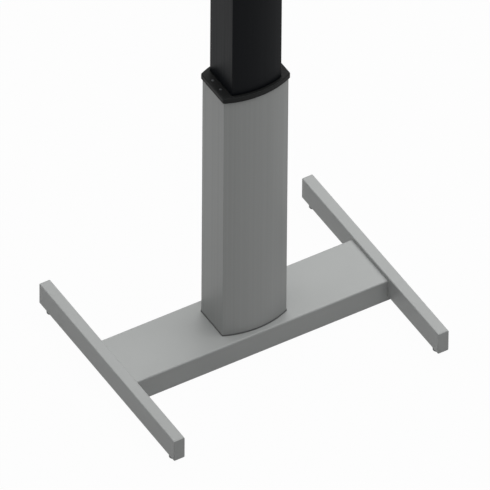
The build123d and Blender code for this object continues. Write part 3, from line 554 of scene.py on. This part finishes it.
# Blackened steel: dark oxide with a dull metal sheen, so the heads are just told from the
# collar. Its grain is drawn coarser than the real one, which is too fine to see.
black_oxide = new_material("blackened_steel", "#56585A", roughness=0.45, metallic=0.8)
add_relief(black_oxide, size=0.3 * mm, depth=0.006 * mm, edge=0.2 * mm)
add_drift(black_oxide, size=2 * mm, colours=("#4F5153", "#5D5F61"))
collar_head = 1.6 * mm
collar_cross = cross_recess(size=1.5 * mm, depth=1.1 * mm)
add_screws(
    "collar_pan_screws", "collar_screws", "base",
    round_head(radius=2.8 * mm, height=collar_head, edge=0.7 * mm, recess=collar_cross),
    head_height=collar_head, radius=1.95 * mm, pitch=0.7 * mm, along=down, finish=black_oxide,
)


# Guides and nut
# The two guides between the columns and the nut of the spindle are moulded in natural acetal,
# which slides without oil.

# Natural acetal: off-white and sleek, with light that seeps into thin edges.
acetal = new_material("natural_moulded_acetal", "#DEDCD3", roughness=0.38)
shader_input(acetal, "Subsurface Weight").default_value = 0.15
shader_input(acetal, "Subsurface Scale").default_value = 1 * mm
add_relief(acetal, size=1 * mm, depth=0.01 * mm)
add_drift(acetal, size=15 * mm, colours=("#DAD8CE", "#E2E0D8"))
dress(acetal, "upper_guide_bush", "lower_guide_bush", "spindle_nut")


# Nut tube
# Drawn steel tube with a welded foot flange, phosphated and lightly oiled. It stands on the beam
# inside the column and holds the nut.

# Phosphate under oil: dark grey with a dull metal sheen, drawn out along the tube. The streaks
# are coarser than real ones, so that they show.
phosphate = new_material("phosphated_drawn_steel", "#5C5D5E", roughness=0.5, metallic=0.6)
add_relief(phosphate, size=0.6 * mm, depth=0.01 * mm, stretch=die_lines)
add_drift(phosphate, size=6 * mm, colours=("#555657", "#646566"))
dress(phosphate, "nut_tube")


# Inner column
# Extruded aluminium, etched matt and anodised black. It slides in the guides and carries the
# frame for the table top.

# Black anodised aluminium: the etch takes most of the gloss, so the specular level is low, and
# the die's upright lines stay as a faint sheen. They are drawn coarser than real ones.
black_anodised = new_material(
    "black_anodised_aluminium", "#101215", roughness=0.42, specular=0.055
)
add_relief(black_anodised, size=1.2 * mm, depth=0.02 * mm, stretch=die_lines, gloss=(0.36, 0.48))
add_drift(black_anodised, size=7 * mm, colours=("#0D0F12", "#131518"), stretch=die_lines)
dress(black_anodised, "inner_column")


# Head plate and frame for the table top
# Laser-cut and folded steel sheet, powder coated black. Sunk screws hold the plate on the inner
# column, and hexagon bolts hold the channel and its two arms.

# Fine-textured black powder coat: a grainy satin that hides small marks.
black_coat = new_material("black_powder_coated_steel", "#1B1C1D", roughness=0.5, specular=0.3)
add_relief(black_coat, size=0.6 * mm, depth=0.06 * mm, gloss=(0.44, 0.58))
add_drift(black_coat, size=60 * mm, colours=("#191A1B", "#1E1F20"))
dress(black_coat, "head_plate", "top_channel", "top_arm_left", "top_arm_right")
m6_socket = hexagon_recess(flats=4 * mm, depth=2.4 * mm)
add_screws(
    "head_sunk_screws", "head_plate_screws", "lift",
    sunk_head(radius=6 * mm, shank=m6_radius, recess=m6_socket),
    head_height=3 * mm, radius=m6_radius, pitch=m6_pitch, along=down,
)
add_screws(
    "frame_hex_bolts", "top_frame_bolts", "lift", hexagon_head(m8_flats, m8_head),
    head_height=m8_head, radius=m8_radius, pitch=m8_pitch, along=down,
)
add_screws(
    "arm_hex_bolts", "arm_bolts", "lift", hexagon_head(m6_flats, m6_head),
    head_height=m6_head, radius=m6_radius, pitch=m6_pitch,
)

# Nuts with the corners of both faces turned off.
m6_bore = 3 * mm
low, high = solids("arm_nuts")[0]
nut_height = high.x - low.x
blank = bmesh.new()
add_hexagon(blank, m6_flats, 0, nut_height, chamfer_below=True)
bore = bmesh.new()
skin(bore, [ring(m6_bore, level) for level in (-overcut, nut_height + overcut)])
along_beam = Matrix.Rotation(radians(90), 4, "Y")
places = []
for low, high in solids("arm_nuts"):
    centre = (low + high) / 2
    places.append(Matrix.Translation((low.x, centre.y, centre.z)) @ along_beam)
add_group("arm_hex_nuts", cut(blank, bore), places, zinc, "lift", "arm_nuts")


# Gear case
# Zinc die casting, screwed under the head plate. It carries the spindle's bearing and the motor,
# and covers the gears.

# As cast: silvery grey, slightly rippled, with soft highlights.
die_cast = new_material("die_cast_zinc", "#A9ABAD", roughness=0.45, metallic=0.9)
add_relief(die_cast, size=1.5 * mm, depth=0.04 * mm)
add_drift(die_cast, size=10 * mm, colours=("#A1A3A6", "#B1B3B4"))
dress(die_cast, "gear_case")


# Motor and gearbox
# A deep-drawn steel can and a turned steel gearbox housing, both nickel plated. Four screws hang
# them from the gear case.

# Nickel: warm silver, with turning marks that draw highlights out around the axis. The marks are
# drawn coarser than real ones, so that they show.
nickel = new_material("nickel_plated_steel", "#A19D95", roughness=0.3, metallic=1.0)
turning_marks = (0.02, 0.02, 1)
add_relief(nickel, size=0.4 * mm, depth=0.004 * mm, stretch=turning_marks)
add_drift(nickel, size=6 * mm, colours=("#9A968E", "#A8A49C"), stretch=turning_marks)
dress(nickel, "gearbox", "drive_motor", "motor_screws")


# Gears, shaft and spindle
# The spindle is steel with a rolled two-start trapezoidal thread, its gear is hobbed steel, and
# the motor's pinion is sintered brass. The ball bearing carries the whole load.

# Bare steel, turned or ground and oiled: bright and cold, with marks around the axis that are
# drawn coarser than real ones.
oiled_steel = new_material("oiled_machined_steel", "#A8A9AA", roughness=0.25, metallic=1.0)
add_relief(oiled_steel, size=0.3 * mm, depth=0.003 * mm, stretch=turning_marks)
add_drift(oiled_steel, size=8 * mm, colours=("#A0A1A2", "#B0B1B1"))
dress(oiled_steel, "spindle_gear", "gearbox_output_shaft")
dress(oiled_steel, "bearing_outer_ring", "bearing_inner_ring", "bearing_balls")

# Sintered brass: dull gold, speckled by its pores, which are drawn coarser than real ones.
brass = new_material("sintered_brass", "#A98A52", roughness=0.42, metallic=1.0)
add_relief(brass, size=0.25 * mm, depth=0.02 * mm, gloss=(0.34, 0.5))
add_drift(brass, size=3 * mm, colours=("#9F814A", "#B3935A"))
dress(brass, "drive_pinion")

spindle_radius = 8 * mm
spindle_pitch = 5 * mm
spindle_depth = 2.5 * mm
crest_share = 0.35
journal_radius = 6 * mm
journal_overlap = 1 * mm
journal_tip = 0.8 * mm
low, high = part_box("spindle")
thread_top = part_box("bearing_inner_ring")[0].z
screw = bmesh.new()
add_thread(
    screw, spindle_radius, spindle_pitch, low.z, thread_top,
    depth=spindle_depth, crest=crest_share, starts=2,
)
journal = [
    (journal_radius, thread_top - journal_overlap),
    (journal_radius, high.z - journal_tip),
    (journal_radius - journal_tip, high.z),
]
skin(screw, [ring(reach, level) for reach, level in journal])
middle = (low + high) / 2
bmesh.ops.translate(screw, vec=(middle.x, middle.y, 0), verts=screw.verts)
add_piece("lead_screw", screw, oiled_steel, "spindle_set", replaces=["spindle"])


# Control box
# Two moulded ABS shells around a circuit board, with a mains inlet at one end. The box lies in
# the channel of the frame.

# Black ABS with a spark-eroded grain: an even, fine matt black. The grain is drawn about twice
# as coarse as a real one, so that it shows.
black_abs = new_material("black_moulded_abs", "#1F2021", roughness=0.5, specular=0.35)
add_relief(black_abs, size=0.4 * mm, depth=0.04 * mm)
add_drift(black_abs, size=9 * mm, colours=("#1C1D1E", "#232425"))
dress(black_abs, "control_box_case", "control_box_cover", "mains_inlet")

# Solder mask: glossy green lacquer, faintly uneven over the tracks.
solder_mask = new_material("green_solder_mask", "#1E5B34", roughness=0.3)
add_relief(solder_mask, size=1.2 * mm, depth=0.02 * mm)
add_drift(solder_mask, size=2.5 * mm, colours=("#1A5230", "#246A3E"))
dress(solder_mask, "control_board")


# Hand control
# Two shells of the same black ABS, screwed under the right arm. The two buttons are grey ABS,
# each with a white triangle printed on its face.
dress(black_abs, "handset_case", "handset_cover")
m4_head = 2.4 * mm
m4_cross = cross_recess(size=1.9 * mm, depth=1.4 * mm)
add_screws(
    "handset_pan_screws", "handset_screws", "lift",
    round_head(radius=3.6 * mm, height=m4_head, edge=0.9 * mm, recess=m4_cross),
    head_height=m4_head, radius=1.95 * mm, pitch=0.7 * mm, along=up,
)

# Grey ABS that fingers have polished a little: a fine grain with a soft shine. The grain is
# drawn about twice as coarse as a real one.
button_plastic = new_material("grey_moulded_abs", "#8E9091", roughness=0.45)
add_relief(button_plastic, size=0.3 * mm, depth=0.02 * mm, edge=0.3 * mm)
add_drift(button_plastic, size=5 * mm, colours=("#8B8D8E", "#919394"))
dress(button_plastic, "up_button", "down_button")

# Pad-printed white ink: matt and opaque, so that it stands out from the grey. It is drawn
# thicker and with a coarser grain than real ink, to stay clear of the face and to show.
white_ink = new_material("pad_printed_white_ink", "#E4E5E4", roughness=0.6)
add_relief(white_ink, size=0.4 * mm, depth=0.01 * mm, edge=0.05 * mm)
add_drift(white_ink, size=1 * mm, colours=("#DEDFDE", "#EAEBEA"))
ink = 0.1 * mm
half_foot = 2.4 * mm
tip = 0.8 * half_foot
foot = 0.6 * half_foot
for name, way in (("up_button", 1), ("down_button", -1)):
    low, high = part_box(name)
    middle = (low + high) / 2
    outline = [(half_foot, -foot * way), (0, tip * way), (-half_foot, -foot * way)]
    triangle = bmesh.new()
    skin(triangle, [[Vector((middle.x + x, y, middle.z + z)) for x, z in outline]
                    for y in (low.y - ink, low.y + ink)])
    add_piece(name + "_mark", triangle, white_ink, name + "_body")


# Floor
# A wide sweep of matt white studio paper, laid flat. The camera and reflections see it near
# white, and it keeps the object's shadow.
def seen_by_eye(owner):
    """Is 1 for rays from the camera, from reflections and through clear things, and 0 for light."""
    rays = add_node(owner, "ShaderNodeLightPath", {}).outputs
    direct = {0: rays["Is Camera Ray"], 1: rays["Is Glossy Ray"]}
    summed = add_node(owner, "ShaderNodeMath", direct, operation="ADD")
    through = {0: summed, 1: rays["Is Transmission Ray"]}
    return add_node(owner, "ShaderNodeMath", through, operation="ADD", use_clamp=True)


# Matt white paper: no gloss at all. The eye sees a white glow, and the small share that the glow
# leaves keeps light and shadow.
floor_half = 30.0
glow = 0.97
paper = new_material("matt_white_paper", "#B0B0B0", roughness=0.9, specular=0.0)
share = add_node(paper, "ShaderNodeMath", {0: seen_by_eye(paper), 1: glow}, operation="MULTIPLY")
white = add_node(paper, "ShaderNodeEmission", {"Color": linear("#FFFFFF"), "Strength": 1.0})
add_node(
    paper,
    "ShaderNodeMixShader",
    {0: share, 1: paper.node_tree.nodes["Principled BSDF"], 2: white},
    feeds=paper.node_tree.nodes["Material Output"].inputs["Surface"],
)
ground = bmesh.new()
bmesh.ops.create_grid(ground, size=floor_half)
mesh = bpy.data.meshes.new("studio_floor")
ground.to_mesh(mesh)
ground.free()
mesh.materials.append(paper)
studio_floor = bpy.data.objects.new("studio_floor", mesh)
bpy.context.scene.collection.objects.link(studio_floor)


# Light
# A large soft box overhead does most of the work, a weak one on the left lifts that side,
# and a pale sky fills in.
def add_lamp(name, size, power, place, target):
    """Square soft box at a place, turned towards a target."""
    lamp = bpy.data.lights.new(name, "AREA")
    lamp.size = size
    lamp.energy = power
    holder = bpy.data.objects.new(name, lamp)
    bpy.context.scene.collection.objects.link(holder)
    holder.location = place
    holder.rotation_mode = "QUATERNION"
    holder.rotation_quaternion = (Vector(target) - Vector(place)).to_track_quat("-Z", "Y")


add_lamp("overhead_box", size=5.0, power=186, place=(0.45, 0.1, 3.5), target=(0, 0, 0))
add_lamp("left_box", size=1.6, power=2.3, place=(-3.0, 0.4, 1.4), target=(0, 0, 0.5))
world = bpy.data.worlds.new("pale_sky")
bpy.context.scene.world = world
world.use_nodes = True
sky = world.node_tree.nodes["Background"]
sky.inputs["Color"].default_value = linear("#FFFFFF")
sky.inputs["Strength"].default_value = 0.105
backdrop = add_node(world, "ShaderNodeBackground", {"Color": linear("#FFFFFF"), "Strength": 1.0})
add_node(
    world,
    "ShaderNodeMixShader",
    {0: seen_by_eye(world), 1: sky, 2: backdrop},
    feeds=world.node_tree.nodes["World Output"].inputs["Surface"],
)
bpy.context.scene.view_settings.view_transform = "Standard"


# Camera
# A very long lens, because the photograph's edges run parallel. It stands to the front left and
# above, leaning by half a degree, and its picture ends above the collar.
azimuth = radians(-30.98)
elevation = radians(43.2)
roll = radians(0.44)
back = Vector((sin(azimuth) * cos(elevation), -cos(azimuth) * cos(elevation), sin(elevation)))
right = Vector((cos(azimuth), sin(azimuth), 0))
aside = 1.4 * mm
target_height = 233 * mm
target = Vector((0, 0, target_height)) + right * aside
lens = bpy.data.cameras.new("long_lens")
lens.lens = 1500
lens.sensor_width = 36
picture_width = 0.9653
distance = picture_width * lens.lens / lens.sensor_width
lens.clip_start = 1
lens.clip_end = 3 * distance
camera = bpy.data.objects.new("camera", lens)
bpy.context.scene.collection.objects.link(camera)
camera.location = target + back * distance
camera.rotation_mode = "QUATERNION"
camera.rotation_quaternion = (-back).to_track_quat("-Z", "Y") @ Quaternion((0, 0, 1), roll)
bpy.context.scene.camera = camera
